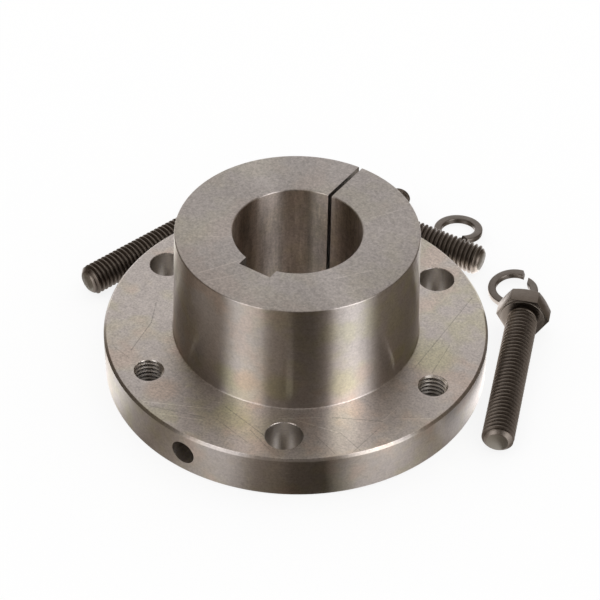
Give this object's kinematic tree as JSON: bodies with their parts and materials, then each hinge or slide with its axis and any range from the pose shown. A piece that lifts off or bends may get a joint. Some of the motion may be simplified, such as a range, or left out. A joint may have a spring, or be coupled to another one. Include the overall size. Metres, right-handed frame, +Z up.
{
  "type": "quick disconnect bushing",
  "caption": "Split tapered bushing with a drilled and tapped flange and a keyed bore, its cap screws, lock washers and set screw lying beside it.",
  "frame": {"origin": "on the bore's axis at the flange's back face, on which the bushing stands", "axes": "+Z up the tapered barrel along the bore, -Y through the keyway and the set screw hole, +Y through the saw cut"},
  "size_m": [0.1972, 0.1921, 0.0667],
  "materials": {
    "bushing_steel": "turned and ground, light oil film",
    "screw_steel": "black oxide",
    "washer_steel": "dark phosphate"
  },
  "bodies": {
    "root": {"bushing": "bushing_steel", "cap_screw_1": "screw_steel", "cap_screw_2": "screw_steel", "cap_screw_3": "screw_steel", "lock_washer_1": "washer_steel", "lock_washer_2": "washer_steel", "lock_washer_3": "washer_steel", "set_screw": "screw_steel"}
  },
  "joints": []
}
